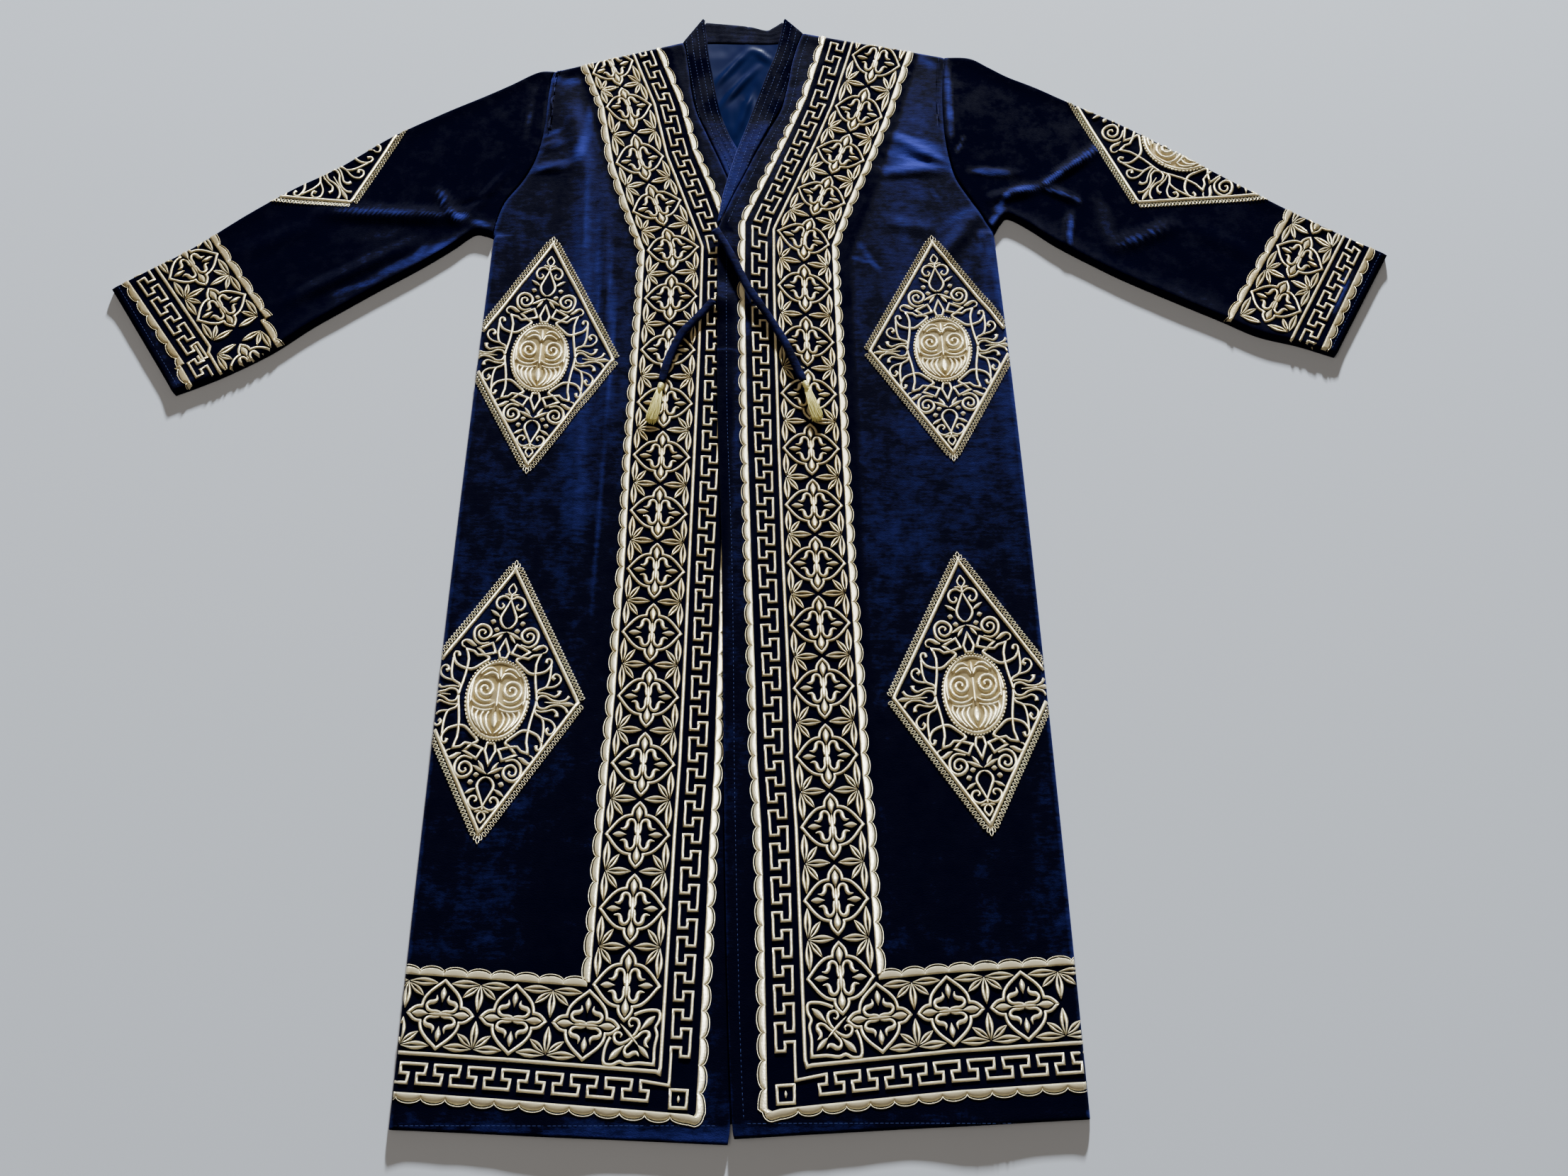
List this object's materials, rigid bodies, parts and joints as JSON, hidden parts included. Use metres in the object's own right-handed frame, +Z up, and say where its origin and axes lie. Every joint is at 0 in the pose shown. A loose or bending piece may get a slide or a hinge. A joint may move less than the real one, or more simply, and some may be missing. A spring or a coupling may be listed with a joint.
{
  "type": "embroidered velvet robe",
  "caption": "Long open-fronted velvet robe with wide embroidered borders, lozenge medallions and tasselled ties, laid flat on its back.",
  "frame": {"origin": "middle of the robe's outline, on the surface it lies on", "axes": "+Z up from the surface, +Y from the hem to the neck, +X towards the sleeve on the right of someone who looks down at the robe"},
  "size_m": [1.3808, 1.2075, 0.0189],
  "materials": {
    "velvet": "deep navy velvet, dark with a blue sheen",
    "satin": "glossy navy satin",
    "gold_thread": "metallic gold embroidery thread on velvet",
    "pale_gold_thread": "pale metallic gold tassel thread"
  },
  "bodies": {
    "root": {"back_panel": "velvet", "front_left": "velvet", "front_right": "velvet", "sleeve_left": "velvet", "sleeve_right": "velvet", "neck_band_left": "velvet", "neck_band_right": "velvet", "neck_band_back": "velvet", "neck_lining": "satin", "border_left": "gold_thread", "border_right": "gold_thread", "medallion_upper_left": "gold_thread", "medallion_upper_right": "gold_thread", "medallion_lower_left": "gold_thread", "medallion_lower_right": "gold_thread", "medallion_sleeve_left": "gold_thread", "medallion_sleeve_right": "gold_thread", "cuff_border_left": "gold_thread", "cuff_border_right": "gold_thread", "tie_left": "velvet", "tie_right": "velvet", "tassel_left": "pale_gold_thread", "tassel_right": "pale_gold_thread"}
  },
  "joints": []
}
